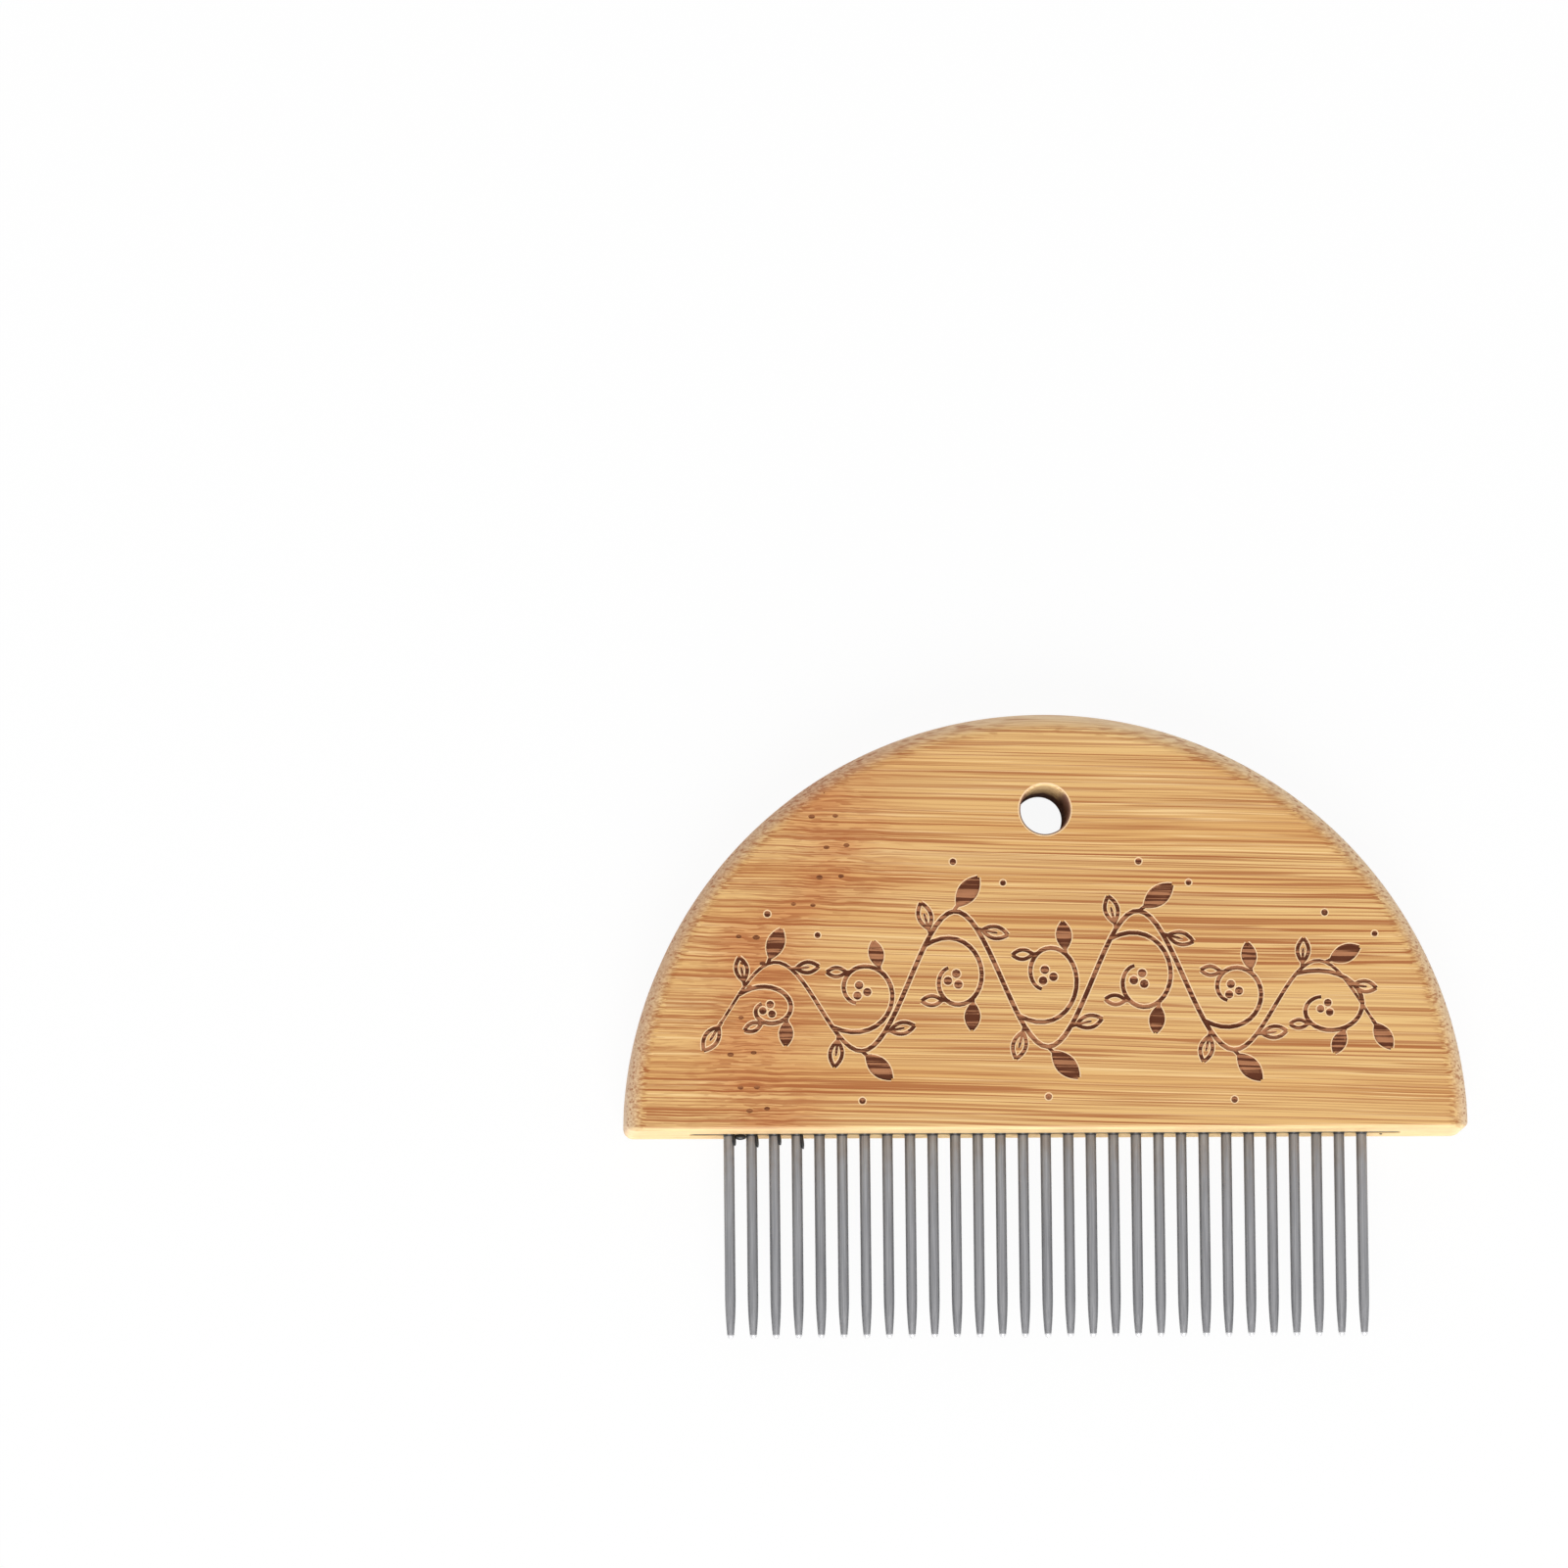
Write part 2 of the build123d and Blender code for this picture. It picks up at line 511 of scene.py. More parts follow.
def keep_piece(name, bm, materials):
    """Turns a finished bmesh into an object at the origin."""
    mesh = bpy.data.meshes.new(name)
    bm.to_mesh(mesh)
    bm.free()
    for material in materials:
        mesh.materials.append(material)
    piece = bpy.data.objects.new(name, mesh)
    bpy.context.collection.objects.link(piece)
    return piece


def face_outwards(bm):
    """Merges doubles and turns every face outwards."""
    bmesh.ops.remove_doubles(bm, verts=bm.verts[:], dist=0.0001 * MM)
    bmesh.ops.recalc_face_normals(bm, faces=bm.faces[:])
    if bm.calc_volume(signed=True) < 0:
        bmesh.ops.reverse_faces(bm, faces=bm.faces[:])


def new_verts(result):
    return [item for item in result["geom"] if isinstance(item, bmesh.types.BMVert)]


def pull_solid(bm, step):
    """Extrudes every face of a flat bmesh by a step, to a closed solid."""
    result = bmesh.ops.extrude_face_region(bm, geom=bm.faces[:])
    bmesh.ops.translate(bm, verts=new_verts(result), vec=step)
    face_outwards(bm)


def quarter_turn(steps):
    """Angles from 0 to 90 degrees in equal steps, both ends included."""
    return [math.radians(90 * step / steps) for step in range(steps + 1)]


def spin_profile(bm, points, centre, axis, steps):
    """Spins a profile once round an axis."""
    verts = [bm.verts.new(point) for point in points]
    edges = [bm.edges.new(pair) for pair in zip(verts, verts[1:])]
    bmesh.ops.spin(
        bm, geom=verts + edges, cent=centre, axis=axis, angle=math.tau, steps=steps, use_merge=True,
    )


def apply_modifiers(piece):
    """Replaces a piece's mesh by what its modifiers make of it."""
    graph = bpy.context.evaluated_depsgraph_get()
    mesh = bpy.data.meshes.new_from_object(piece.evaluated_get(graph))
    piece.modifiers.clear()
    piece.data = mesh


def cut_away(piece, cutters):
    """Takes the cutters out of a piece, faces keeping each cutter's material."""
    tools = bpy.data.collections.new("cutters")
    for cutter in cutters:
        tools.objects.link(cutter)
    cut = piece.modifiers.new("cut", "BOOLEAN")
    cut.operation = "DIFFERENCE"
    cut.operand_type = "COLLECTION"
    cut.collection = tools
    cut.solver = "MANIFOLD"
    cut.material_mode = "TRANSFER"
    apply_modifiers(piece)
    for cutter in cutters:
        bpy.data.objects.remove(cutter)
    bpy.data.collections.remove(tools)


def dress(piece, slot, *nodes):
    """Seats a piece on the comb and hides the nodes that it stands for. The finish slot is not used."""
    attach(piece, BODY)
    if nodes:
        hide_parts(*nodes)


def shade_smooth(piece, crease_degrees):
    """Smooth shading, but crisp where faces meet at more than the crease angle."""
    piece.data.shade_smooth()
    piece.data.set_sharp_from_angle(angle=math.radians(crease_degrees))


def steady_flats(piece):
    """Lets the large flat faces keep their own direction where they meet the roundings."""
    steadied = piece.modifiers.new("steadied", "WEIGHTED_NORMAL")
    steadied.mode = "FACE_AREA"
    steadied.keep_sharp = True
    apply_modifiers(piece)


# The handle's blank: outline, rounding, hole and slot

def half_disc_blank(sizes):
    """The bamboo blank: a disc sawn above its centre, with rounded edges all over."""
    bm = bmesh.new()
    centre = Matrix.Translation((0, EDGE_Y - EDGE_ABOVE_CENTRE, 0))
    bmesh.ops.create_circle(bm, cap_ends=True, segments=RIM_SEGMENTS, radius=DISC_RADIUS, matrix=centre)
    bmesh.ops.bisect_plane(
        bm, geom=bm.verts[:] + bm.edges[:] + bm.faces[:], plane_co=(0, EDGE_Y, 0), plane_no=(0, -1, 0),
        clear_outer=True,
    )
    # The outline's steps next to the corners would crowd the corners' rounding
    room_for_rounding = 2 * sizes.corner_rounding
    crowded = [vert for vert in bm.verts if LEVEL < vert.co.y - EDGE_Y < room_for_rounding]
    bmesh.ops.dissolve_verts(bm, verts=crowded)
    pull_solid(bm, (0, 0, FRONT_Z))

    weights = bm.edges.layers.float.new("bevel_weight_edge")
    for edge in bm.edges:
        low, high = sorted(vert.co.y for vert in edge.verts)
        upright = abs(edge.verts[0].co.z - edge.verts[1].co.z) > MM
        on_straight_edge = high - EDGE_Y < LEVEL
        if on_straight_edge and upright:
            edge[weights] = sizes.corner_rounding / sizes.rim_rounding
        elif on_straight_edge:
            edge[weights] = sizes.edge_rounding / sizes.rim_rounding
        elif not upright:
            edge[weights] = 1.0
    blank = keep_piece("handle_carved", bm, [])
    rounding = blank.modifiers.new("rounding", "BEVEL")
    rounding.limit_method = "WEIGHT"
    rounding.width = sizes.rim_rounding
    rounding.segments = ROUNDING_SEGMENTS
    apply_modifiers(blank)
    return blank


def hole_cutter(sizes, wall, mouth):
    """What the burnt hole takes out: a bar that narrows to the back and flares at its mouths."""
    rounding = sizes.hole_rounding
    # Only the outermost part of each flare, by its depth, takes the pale finish, which is partly a painted
    # highlight
    pale_depth = rounding * 0.2
    flare = [
        (HOLE_RADIUS + rounding * (1 - math.cos(turn)), FRONT_Z - rounding * (1 - math.sin(turn)))
        for turn in quarter_turn(6)
    ]
    mouth_radius = flare[-1][0]
    half = flare + [(mouth_radius, FRONT_Z + MM), (0, FRONT_Z + MM)]
    mirrored = [(max(0, radius - sizes.hole_taper), 2 * MID_Z - z) for radius, z in reversed(half)]
    bm = bmesh.new()
    points = [(radius, HOLE_Y, z) for radius, z in mirrored + half]
    spin_profile(bm, points, (0, HOLE_Y, 0), (0, 0, 1), HOLE_SEGMENTS)
    face_outwards(bm)
    for face in bm.faces:
        if abs(face.calc_center_median().z - MID_Z) > FRONT_Z / 2 - pale_depth:
            face.material_index = 1
    return keep_piece("hole_cutter", bm, [wall, mouth])


def slot_bar(bm, start_y, end_y):
    """A bar with round ends that runs along the slot, from start_y to end_y."""
    radius = (RESIN_HIGH.z - RESIN_LOW.z) / 2
    reach = (RESIN_HIGH.x - RESIN_LOW.x) / 2 - radius
    upright = Matrix.Translation((0, start_y, MID_Z)) @ Matrix.Rotation(math.radians(90), 4, "X")
    disc = bmesh.ops.create_circle(bm, cap_ends=True, segments=SLOT_SEGMENTS, radius=radius, matrix=upright)
    rim = disc["verts"]
    for side in (-1, 1):
        half = [vert for vert in rim if vert.co.x * side > LEVEL]
        bmesh.ops.translate(bm, verts=half, vec=(side * reach, 0, 0))
    face = rim[0].link_faces[0]
    result = bmesh.ops.extrude_face_region(bm, geom=[face])
    bmesh.ops.translate(bm, verts=new_verts(result), vec=(0, end_y - start_y, 0))


def slot_cutter(material):
    """What the router takes out for the pins."""
    bm = bmesh.new()
    slot_bar(bm, EDGE_Y - MM, SLOT_FLOOR_Y)
    face_outwards(bm)
    return keep_piece("slot_cutter", bm, [material])


# The engraving: a made-up vine scroll with curled shoots, leaves and berries

# How far the vine reaches to either side of the handle's middle, in millimetres
VINE_REACH = 36.5
VINE_BOWS = 7
STEPS_PER_BOW = 16
CURL_DEGREES = 375
# How far along a bow its shoot leaves the stem, in steps
SHOOT_STEP = 3
CURL_STEPS = 30
# The leaves of a bow and of a curl: how far along it they grow, their length, if they are filled
BOW_LEAVES = [(0.28, 3.8, False), (0.5, 4.8, True), (0.72, 3.6, False)]
CURL_LEAVES = [(0.48, 3.6, True), (0.67, 2.8, False)]
# How far leaves lean out from the line that they grow on, in degrees
BOW_LEAF_LEAN = 46
CURL_LEAF_LEAN = 42
LEAF_BREADTH_SHARE = 0.38
# A leaf has a vein if it is longer than this, in millimetres
VEINLESS_LEAF = 2.8
# The vine's middle line and its swing, in millimetres: what they are at the ends of the
# span, and what the middle adds to that
VINE_SPAN = 47
VINE_END_Y = -3.2
VINE_RISE = 8.4
VINE_END_SWING = 1.6
VINE_MIDDLE_SWING = 6.4


def bend(start, end, sag, steps=10):
    """Points from start to end along a shallow bow that stands sag to the left."""
    along = end - start
    side = Vector((-along.y, along.x)).normalized()
    shares = [step / steps for step in range(steps + 1)]
    return [start + along * share + side * (4 * sag * share * (1 - share)) for share in shares]


def ray(base, degrees, reach):
    """The point at a distance and an angle, counted from straight up towards the right."""
    turn = math.radians(degrees)
    return base + Vector((math.sin(turn), math.cos(turn))) * reach


def heading(points, number):
    """Which way a line runs at one of its points, as an angle that ray takes."""
    along = points[number + 1] - points[number - 1]
    return math.degrees(math.atan2(along.x, along.y))


class Graver:
    """Makes the cutters that burn lines, pockets and dots into the front face."""

    def __init__(self, sizes, material):
        self.sizes = sizes
        self.material = material
        self.cutters = []
        # How far each cutter stands out of the face, so that it cuts cleanly
        self.clear = 0.1 * MM
        half_line = sizes.line_width / 2
        half_all = half_line + sizes.rim_width
        half_section = [
            (half_all + self.clear, self.clear),
            (half_all, 0.0),
            (half_line, -sizes.rim_depth),
            (half_line * 0.72, -sizes.line_depth * 0.75),
        ]
        bottom = [(0.0, -sizes.line_depth)]
        left = [(-x, y) for x, y in half_section]
        self.section = self._curve("graver_section", left + bottom + half_section[::-1], closed=True)

    def _curve(self, name, points, closed=False, radii=()):
        curve = bpy.data.curves.new(name, "CURVE")
        spline = curve.splines.new("POLY")
        spline.points.add(len(points) - 1)
        for place, point in zip(spline.points, points):
            place.co = (point[0], point[1], 0, 1)
        for place, radius in zip(spline.points, radii):
            place.radius = radius
        spline.use_cyclic_u = closed
        piece = bpy.data.objects.new(name, curve)
        bpy.context.collection.objects.link(piece)
        return piece

    def _keep(self, curve_piece):
        graph = bpy.context.evaluated_depsgraph_get()
        mesh = bpy.data.meshes.new_from_object(curve_piece.evaluated_get(graph))
        bm = bmesh.new()
        bm.from_mesh(mesh)
        bmesh.ops.translate(bm, verts=bm.verts[:], vec=(0, 0, FRONT_Z))
        face_outwards(bm)
        bpy.data.objects.remove(curve_piece)
        self.cutters.append(keep_piece("graver_cut", bm, [self.material]))

    def line(self, points, width=1.0, thin_start=1.0, thin_end=1.0):
        """A burnt line through points in millimetres, which may thin towards its ends."""
        last = len(points) - 1
        radii = []
        for step in range(len(points)):
            share = step / last
            start_part = thin_start + (1 - thin_start) * min(1, share * 4)
            end_part = thin_end + (1 - thin_end) * min(1, (1 - share) * 4)
            radii.append(width * start_part * end_part)
        stroke = self._curve("stroke", [point * MM for point in points], radii=radii)
        stroke.data.dimensions = "3D"
        stroke.data.twist_mode = "Z_UP"
        stroke.data.bevel_mode = "OBJECT"
        stroke.data.bevel_object = self.section
        stroke.data.use_fill_caps = True
        self._keep(stroke)

    def pocket(self, points):
        """A burnt area inside points in millimetres."""
        outline = self._curve("pocket", [point * MM for point in points], closed=True)
        outline.data.dimensions = "2D"
        outline.data.fill_mode = "BOTH"
        outline.data.extrude = self.sizes.pocket_depth
        self._keep(outline)

    def dot(self, centre, size=1.0):
        """A burnt dot in a pale ring, with a deeper middle."""
        radius = self.sizes.dot_radius * size
        ring = radius + self.sizes.rim_width
        depth = self.sizes.line_depth
        profile = [
            (0.0, self.clear), (ring + self.clear, self.clear), (ring, 0.0), (radius, -self.sizes.rim_depth),
            (radius * 0.8, -depth * 0.65), (radius * 0.35, -depth * 0.7), (0.0, -depth * 1.3),
        ]
        x, y = centre * MM
        points = [(x + across, y, FRONT_Z + height) for across, height in profile]
        bm = bmesh.new()
        spin_profile(bm, points, (x, y, 0), (0, 0, 1), SMALL_ROUND_SEGMENTS)
        face_outwards(bm)
        self.cutters.append(keep_piece("graver_dot", bm, [self.material]))

    def finish(self):
        bpy.data.objects.remove(self.section)
        return self.cutters


def draw_leaf(graver, base, degrees, reach, breadth, filled=False):
    """A pointed leaf on a short stalk: two bowed sides, with a vein or burnt all over."""
    stalk = ray(base, degrees, reach * 0.18)
    tip = ray(base, degrees, reach)
    left = bend(stalk, tip, breadth / 2)
    right = bend(stalk, tip, -breadth / 2)
    graver.line([base, stalk], 0.8)
    graver.line(left, 0.85)
    graver.line(right, 0.85)
    if filled:
        graver.pocket(left + right[-2:0:-1])
    elif reach > VEINLESS_LEAF:
        graver.line(bend(stalk, ray(base, degrees, reach * 0.66), 0.0, 4), 0.6, thin_end=0.6)


def draw_leaves(graver, points, first, steps, leaves, lean, size):
    """Draws the listed leaves along part of a line: so many steps from its first point on."""
    for share, full_reach, filled in leaves:
        number = first + round(share * steps)
        reach = full_reach * size
        degrees = heading(points, number) - lean
        draw_leaf(graver, points[number], degrees, reach, reach * LEAF_BREADTH_SHARE, filled)


def vine_arch(x):
    """An arch that is 1 in the middle of the vine and 0 at the ends of its span."""
    return 1 - (x / VINE_SPAN) ** 2


def vine_middle(x):
    """The line that the vine swings about, which rises with the handle's curve."""
    return Vector((x, VINE_END_Y + VINE_RISE * vine_arch(x)))


def vine_swing(x):
    """How far the vine swings to either side of its middle line."""
    return VINE_END_SWING + VINE_MIDDLE_SWING * vine_arch(x)


def leaf_size(x):
    """How large the leaves are, as a share: smaller where the vine swings less."""
    return 0.62 + 0.38 * vine_swing(x) / vine_swing(0)


def vine_stem():
    """Points along the vine's main stem, from left to right."""
    last = VINE_BOWS * STEPS_PER_BOW
    points = []
    for step in range(last + 1):
        x = -VINE_REACH + 2 * VINE_REACH * step / last
        swing = math.sin(math.pi * step / STEPS_PER_BOW) * vine_swing(x)
        points.append(vine_middle(x) + Vector((0, swing)))
    return points


def draw_curl(graver, centre, start, side):
    """A shoot that leaves the stem and curls in to a bunch of berries."""
    squash = 0.8 * vine_swing(centre.x) / (VINE_REACH / VINE_BOWS)
    arm = Vector((start.x - centre.x, (start.y - centre.y) / squash))
    points = []
    for step in range(CURL_STEPS + 1):
        share = step / CURL_STEPS
        turned = Matrix.Rotation(math.radians(-side * CURL_DEGREES * share), 2) @ arm
        turned *= 1 - 0.72 * share ** 0.75
        points.append(centre + Vector((turned.x, turned.y * squash)))
    graver.line(points, 0.95, thin_end=0.8)
    size = leaf_size(centre.x)
    draw_leaves(graver, points, 0, CURL_STEPS, CURL_LEAVES, side * CURL_LEAF_LEAN, size)
    for third in range(3):
        graver.dot(ray(centre, 120 * third + side * 20, 0.72 * size), 1.35 * size)


def draw_vine(graver):
    """The whole scroll: its stem, a curl inside each bow, leaves outside it and stray seeds."""
    stem = vine_stem()
    graver.line(stem, 1.0, thin_start=0.6, thin_end=0.6)
    end_leaf = (3.8, 1.5)
    draw_leaf(graver, stem[0], heading(stem, 1) + 180, *end_leaf)
    draw_leaf(graver, stem[-1], heading(stem, len(stem) - 2), *end_leaf, filled=True)
    for bow in range(VINE_BOWS):
        side = 1 if bow % 2 == 0 else -1
        first = bow * STEPS_PER_BOW
        centre = vine_middle((stem[first].x + stem[first + STEPS_PER_BOW].x) / 2)
        draw_curl(graver, centre, stem[first + SHOOT_STEP], side)
        size = leaf_size(centre.x)
        draw_leaves(graver, stem, first, STEPS_PER_BOW, BOW_LEAVES, side * BOW_LEAF_LEAN, size)
        swing = vine_swing(centre.x)
        graver.dot(centre + Vector((0, side * (swing + 5.6))))
        if side > 0:
            graver.dot(centre + Vector((5.6, swing + 3.2)), size=0.9)


def engraving_cutters(sizes, material):
    """Every cutter of the vine."""
    graver = Graver(sizes, material)
    draw_vine(graver)
    return graver.finish()


def pore_cutters(radius, material):
    """Small shallow pits in pairs along the plant's node."""
    chance = random.Random(7)
    half_apart = 1.05
    stray = 0.3
    cutters = []
    height = EDGE_Y / MM + 2.4
    highest = CROWN_Y / MM - 6
    while height < highest:
        for side in (-1, 1):
            x = node_line(height) + side * half_apart + chance.uniform(-stray, stray)
            y = height + chance.uniform(-stray, stray)
            size = radius * chance.uniform(0.7, 1.1)
            bm = bmesh.new()
            place = Matrix.Translation((x * MM, y * MM, FRONT_Z))
            long_pit = Matrix.Diagonal((1.5, 1, 0.45, 1))
            bmesh.ops.create_uvsphere(bm, u_segments=12, v_segments=8, radius=size, matrix=place @ long_pit)
            cutters.append(keep_piece("pore_cutter", bm, [material]))
        height += chance.uniform(2.6, 3.8)
    return cutters


# Operators

class COMB_OT_handle(bpy.types.Operator):
    """Builds the bamboo handle with its slot, hanging hole, engraving and grain"""
    bl_idname = "comb.add_handle"
    bl_label = "Add Bamboo Handle"

    def execute(self, context):
        scene = context.scene
        sizes = scene.comb_handle
        engraving = scene.comb_engraving
        colours = scene.comb_colours
        bamboo = bamboo_finish(colours)
        pale_rim = pale_rim_finish(colours)
        dark, light = tuple(colours.scorch_dark), tuple(colours.scorch_light)
        scorched = scorched_finish("bamboo_scorched", dark, light)
        bored = bored_finish(colours)
        pore = scorched_finish("bamboo_pore", tint(112, 64, 38), tint(156, 100, 62))

        handle = half_disc_blank(sizes)
        handle.data.materials.append(bamboo)
        cut_away(handle, [hole_cutter(sizes, bored, pale_rim), slot_cutter(bamboo)])
        cut_away(handle, pore_cutters(sizes.pore_radius, pore) + engraving_cutters(engraving, scorched))
        self.split_pale_rim(handle.data, engraving, scorched, pale_rim)
        shade_smooth(handle, crease_degrees=28)
        steady_flats(handle)
        dress(handle, "bamboo", "handle")
        return {"FINISHED"}

    def split_pale_rim(self, mesh, engraving, scorched, pale_rim):
        """Gives the shallow shoulder of each burnt line its own pale finish, partly a painted highlight."""
        burnt = mesh.materials.find(scorched.name)
        pale = mesh.materials.find(pale_rim.name)
        shoulder = FRONT_Z - engraving.rim_depth - 0.002 * MM
        for face in mesh.polygons:
            lowest = min(mesh.vertices[number].co.z for number in face.vertices)
            if face.material_index == burnt and lowest > shoulder:
                face.material_index = pale


class COMB_OT_pins(bpy.types.Operator):
    """Builds the steel pins, each with a curved taper and a domed nose"""
    bl_idname = "comb.add_pins"
    bl_label = "Add Steel Pins"

    def execute(self, context):
        sizes = context.scene.comb_pins
        steel = steel_finish(context.scene.comb_colours, sizes)
        for node in PIN_NODES:
            low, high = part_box(node)
            x = (low.x + high.x) / 2
            shank_radius = (high.x - low.x) / 2
            bm = bmesh.new()
            points = [(x + radius, y, MID_Z) for radius, y in self.profile(shank_radius, sizes)]
            spin_profile(bm, points, (x, 0, MID_Z), (0, 1, 0), PIN_SEGMENTS)
            face_outwards(bm)
            pin = keep_piece(node + "_drawn", bm, [steel])
            shade_smooth(pin, crease_degrees=40)
            dress(pin, "steel", node)
        return {"FINISHED"}

    def profile(self, shank_radius, sizes):
        """Radius and y of a pin's outline, from its seat in the slot to its nose."""
        nose_y = TIP_Y + sizes.nose_radius
        drop = shank_radius - sizes.nose_radius
        points = [(0, SLOT_FLOOR_Y), (shank_radius, SLOT_FLOOR_Y), (shank_radius, EDGE_Y)]
        taper_steps = 7
        for step in range(taper_steps + 1):
            share = step / taper_steps
            points.append((shank_radius - drop * share ** 2, nose_y + sizes.taper_length * (1 - share)))
        # The taper's last point is the nose's first
        for turn in quarter_turn(6)[1:]:
            points.append((sizes.nose_radius * math.cos(turn), nose_y - sizes.nose_radius * math.sin(turn)))
        return points


class COMB_OT_resin(bpy.types.Operator):
    """Builds the black resin in the slot and its collars round the pins"""
    bl_idname = "comb.add_resin"
    bl_label = "Add Black Resin"

    def execute(self, context):
        sizes = context.scene.comb_resin
        resin = resin_finish(context.scene.comb_colours)
        bm = bmesh.new()
        slot_bar(bm, RESIN_LOW.y, RESIN_HIGH.y)
        for node in PIN_NODES:
            low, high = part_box(node)
            self.add_collar(bm, (low.x + high.x) / 2, (high.x - low.x) / 2, sizes)
        face_outwards(bm)
        bed = keep_piece("resin_bed_cast", bm, [resin])
        shade_smooth(bed, crease_degrees=40)
        dress(bed, "resin", "resin_bed")
        return {"FINISHED"}

    def add_collar(self, bm, x, pin_radius, sizes):
        """The small fillet of resin that climbs one pin."""
        points = [(x, RESIN_LOW.y + 0.1 * MM, MID_Z)]
        for turn in quarter_turn(5):
            radius = pin_radius + sizes.collar_width * (1 - math.sin(turn))
            climb = sizes.collar_height * (1 - math.cos(turn))
            points.append((x + radius, RESIN_LOW.y + 0.02 * MM - climb, MID_Z))
        points.append((x, RESIN_LOW.y - sizes.collar_height, MID_Z))
        spin_profile(bm, points, (x, 0, MID_Z), (0, 1, 0), SMALL_ROUND_SEGMENTS)


class COMB_OT_beads(bpy.types.Operator):
    """Builds the beads of spilt resin at the roots of the first pins and by the slot's end"""
    bl_idname = "comb.add_resin_beads"
    bl_label = "Add Spilt Resin Beads"

    # How far each of the first pins' drips runs down from the edge, in millimetres
    drip_runs = [1.3, 1.5, 1.25, 1.7]
    drip_lean_degrees = 7
    # Half sizes across, along and through, in millimetres
    drip_half_width = 0.2
    drip_half_thickness = 0.36
    drop_half_sizes = (0.68, 0.34, 0.4)
    stray_half_sizes = (0.17, 0.12, 0.15)

    def execute(self, context):
        bm = bmesh.new()
        front = MID_Z + 0.3 * MM
        pins = [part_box(node) for node in PIN_NODES]
        for (low, high), run in zip(pins, self.drip_runs):
            half_run = (run + 0.3) / 2
            place = (high.x - 0.02 * MM, EDGE_Y - (run - half_run) * MM, front)
            drip = (self.drip_half_width, half_run, self.drip_half_thickness)
            self.add_drop(bm, place, drip, self.drip_lean_degrees)
        between = (pins[0][1].x + pins[1][0].x) / 2
        self.add_drop(bm, (between, EDGE_Y - 0.28 * MM, front), self.drop_half_sizes)
        stray = (RESIN_HIGH.x - 2.1 * MM, EDGE_Y - 0.02 * MM, RESIN_LOW.z - 0.35 * MM)
        self.add_drop(bm, stray, self.stray_half_sizes)
        face_outwards(bm)
        beads = keep_piece("resin_beads", bm, [bpy.data.materials["black_resin"]])
        shade_smooth(beads, crease_degrees=60)
        dress(beads, "resin")
        return {"FINISHED"}

    def add_drop(self, bm, place, half_sizes, lean=0):
        """One drop, as an egg with its half sizes in millimetres and its lean in degrees."""
        shape = Matrix.Rotation(math.radians(lean), 4, "Z") @ Matrix.Diagonal((*half_sizes, 1))
        bmesh.ops.create_icosphere(bm, subdivisions=3, radius=MM, matrix=Matrix.Translation(place) @ shape)


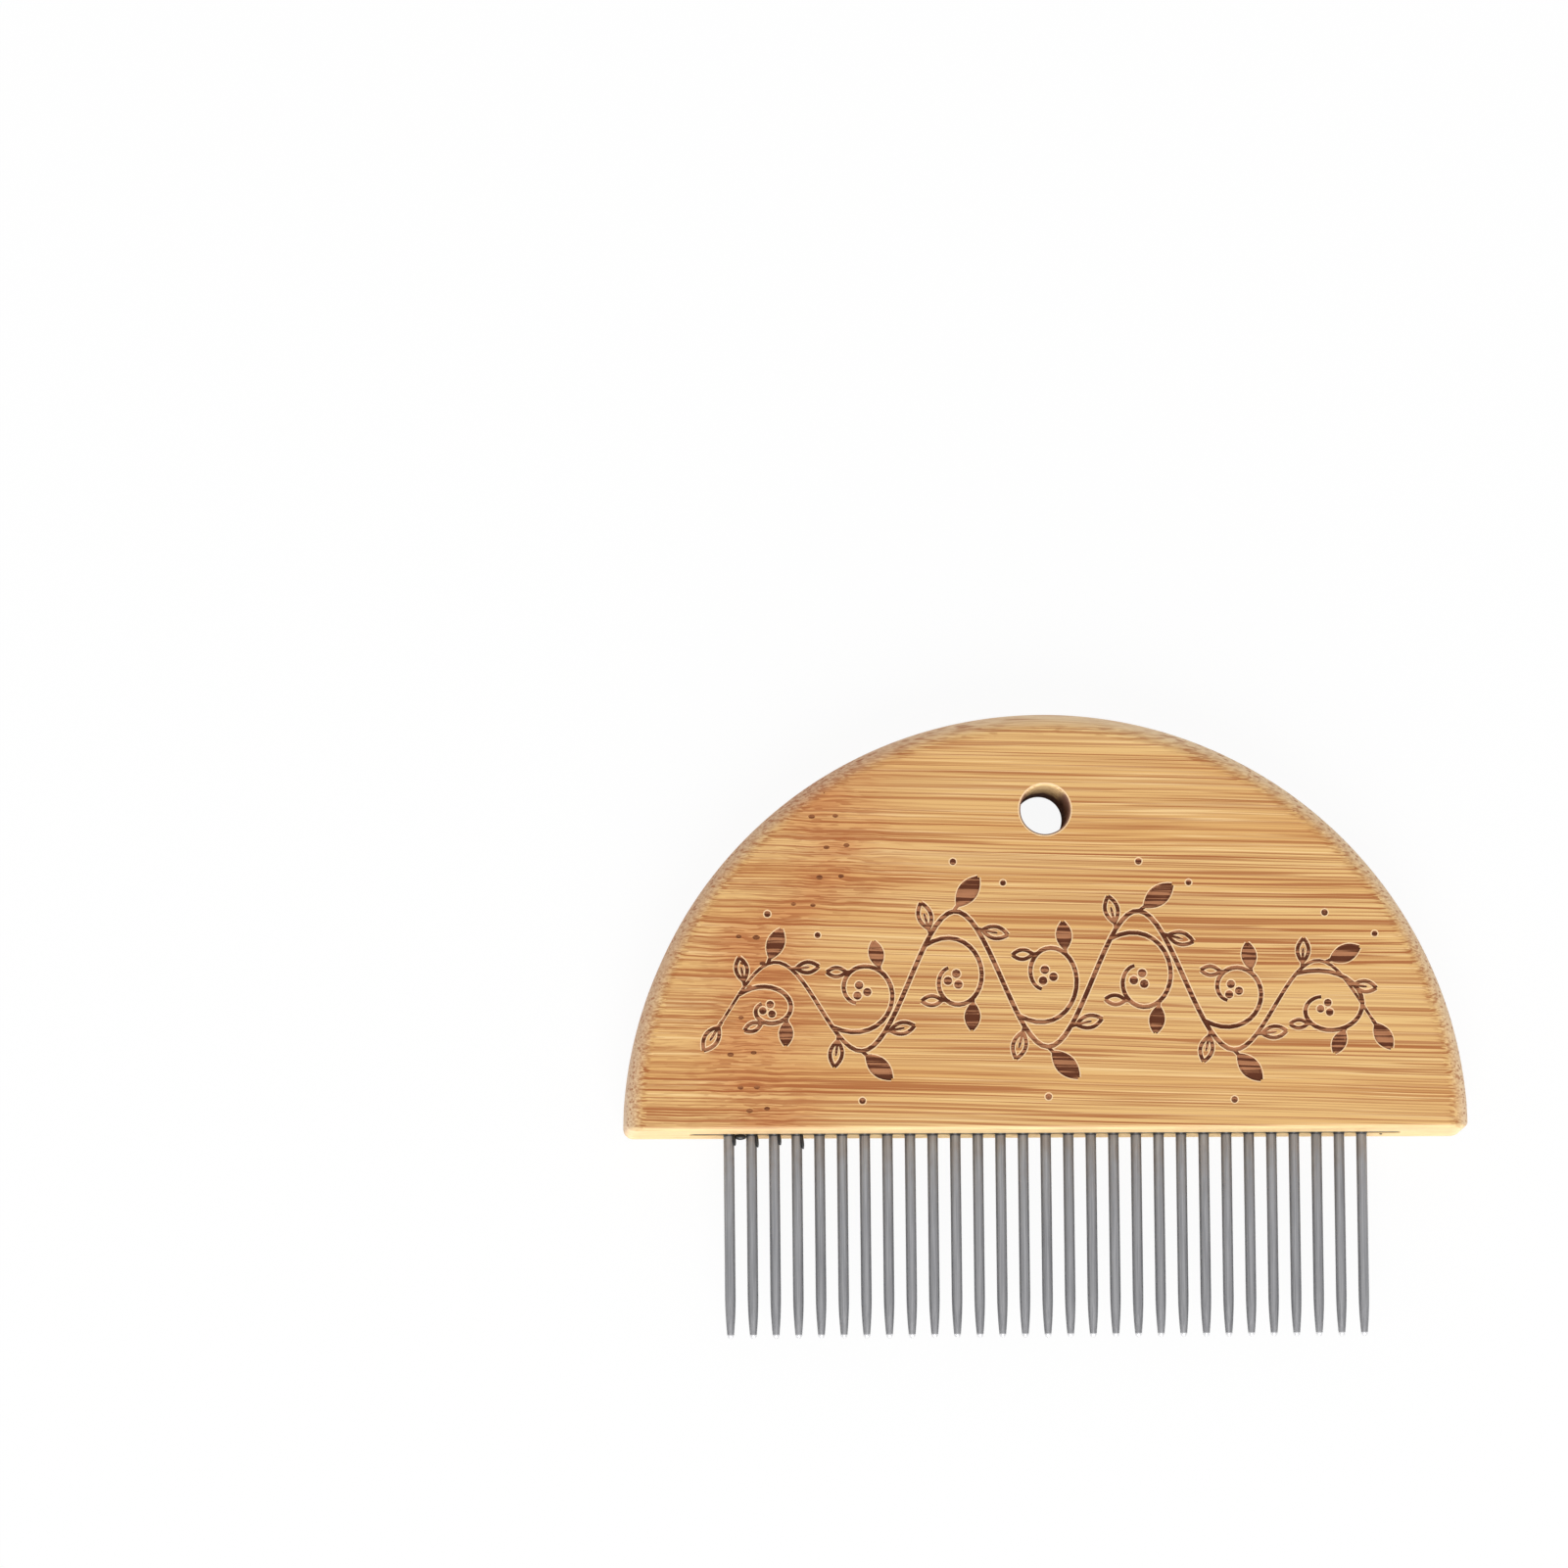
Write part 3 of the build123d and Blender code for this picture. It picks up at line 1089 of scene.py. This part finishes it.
class COMB_OT_stage(bpy.types.Operator):
    """Sets the pale floor, the soft studio light and the camera"""
    bl_idname = "comb.set_stage"
    bl_label = "Set Studio Stage"

    floor_half = 2.5
    # Share of the floor's look that is plain white to the camera, the rest being lit
    floor_glow = 0.93
    # How bright the room is as a lamp and in mirrored light, where 1 is white
    room_light = 0.55
    room_mirrored = 0.85
    # Each lamp's name, place and width in metres, and power in watts
    lamps = [
        ("key_light", (0.0, -1.15, 1.1), 1.2, 16.5),
        ("low_light", (0.1, -1.4, 0.22), 0.7, 8.0),
        ("back_light", (0.0, 1.3, 0.9), 1.2, 3.5),
    ]
    # Where the camera stands, in metres, how it is turned, in degrees, and its lens, in millimetres
    camera_place = (-0.1132, -0.15195, 1.3901)
    camera_yaw = 3.48
    camera_pitch = -7.37
    camera_roll = 0.58
    camera_lens = 285.9

    def execute(self, context):
        self.add_floor()
        self.add_room(context.scene)
        for lamp in self.lamps:
            self.add_lamp(*lamp)
        self.add_camera(context.scene)
        context.scene.view_settings.view_transform = "Standard"
        return {"FINISHED"}

    def add_floor(self):
        """A white floor that looks evenly lit to the camera and still takes a soft shadow."""
        finish = Finish("studio_floor", {"Roughness": 0.9, "Base Color": (0.9, 0.9, 0.9)})
        seen = finish.node("ShaderNodeLightPath", output="Is Camera Ray")
        glow = finish.node("ShaderNodeEmission", {}, {"Color": (1.0, 1.0, 1.0), "Strength": 1.0})
        lit = Wire(finish, finish.shader.outputs["BSDF"])
        both = finish.node("ShaderNodeMixShader", {}, {0: seen * self.floor_glow, 1: lit, 2: glow})
        finish.feed(finish.tree.nodes["Material Output"].inputs["Surface"], both)
        bm = bmesh.new()
        bmesh.ops.create_grid(bm, x_segments=2, y_segments=2, size=self.floor_half)
        floor = keep_piece("studio_floor", bm, [finish.material])

    def add_room(self, scene):
        """A soft white room: white where it is seen, softer in mirrored light and as a lamp."""
        world = bpy.data.worlds.new("studio_room")
        world.use_nodes = True
        room = Wiring(world.node_tree)
        seen = room.node("ShaderNodeLightPath", output="Is Camera Ray")
        mirrored = room.node("ShaderNodeLightPath", output="Is Glossy Ray")
        brightness = room.larger(seen, room.larger(mirrored * self.room_mirrored, self.room_light))
        background = room.tree.nodes["Background"]
        room.feed(background.inputs["Color"], (1.0, 1.0, 1.0))
        room.feed(background.inputs["Strength"], brightness)
        scene.world = world

    def add_lamp(self, name, place, size, power):
        lamp = bpy.data.lights.new(name, "AREA")
        lamp.shape = "DISK"
        lamp.size = size
        lamp.energy = power
        piece = bpy.data.objects.new(name, lamp)
        piece.location = place
        piece.rotation_mode = "QUATERNION"
        piece.rotation_quaternion = (-Vector(place)).to_track_quat("-Z", "Y")
        piece.visible_camera = False
        bpy.context.collection.objects.link(piece)

    def add_camera(self, scene):
        camera = bpy.data.cameras.new("photo_camera")
        camera.lens = self.camera_lens
        camera.sensor_width = 36.0
        camera.clip_start = 0.05
        camera.clip_end = 20.0
        piece = bpy.data.objects.new("photo_camera", camera)
        turn = (
            Matrix.Rotation(math.radians(self.camera_roll), 3, "Z")
            @ Matrix.Rotation(math.radians(self.camera_pitch), 3, "X")
            @ Matrix.Rotation(math.radians(self.camera_yaw), 3, "Y")
        )
        piece.matrix_world = Matrix.Translation(self.camera_place) @ turn.inverted().to_4x4()
        bpy.context.collection.objects.link(piece)
        scene.camera = piece


OPERATORS = [COMB_OT_stage, COMB_OT_handle, COMB_OT_pins, COMB_OT_resin, COMB_OT_beads]
SETTINGS = {
    "comb_handle": CombHandleSizes,
    "comb_engraving": CombEngravingSizes,
    "comb_pins": CombPinSizes,
    "comb_resin": CombResinSizes,
    "comb_colours": CombFinishColours,
}


class COMB_PT_panel(bpy.types.Panel):
    """Lists the comb's sizes, colours and building steps"""
    bl_idname = "COMB_PT_panel"
    bl_label = "Weaving Comb"
    bl_space_type = "VIEW_3D"
    bl_region_type = "UI"
    bl_category = "Comb"

    def draw(self, context):
        for operator in OPERATORS:
            self.layout.operator(operator.bl_idname)
        for name, group in SETTINGS.items():
            box = self.layout.box()
            for field in group.__annotations__:
                box.prop(getattr(context.scene, name), field)


def register():
    for group in SETTINGS.values():
        bpy.utils.register_class(group)
    for name, group in SETTINGS.items():
        setattr(bpy.types.Scene, name, bpy.props.PointerProperty(type=group))
    for operator in OPERATORS:
        bpy.utils.register_class(operator)
    bpy.utils.register_class(COMB_PT_panel)


def unregister():
    bpy.utils.unregister_class(COMB_PT_panel)
    for operator in reversed(OPERATORS):
        bpy.utils.unregister_class(operator)
    for name in SETTINGS:
        delattr(bpy.types.Scene, name)
    for group in SETTINGS.values():
        bpy.utils.unregister_class(group)


def main():
    register()
    bpy.ops.comb.set_stage()
    bpy.ops.comb.add_handle()
    bpy.ops.comb.add_pins()
    bpy.ops.comb.add_resin()
    bpy.ops.comb.add_resin_beads()


if __name__ == "__main__":
    main()
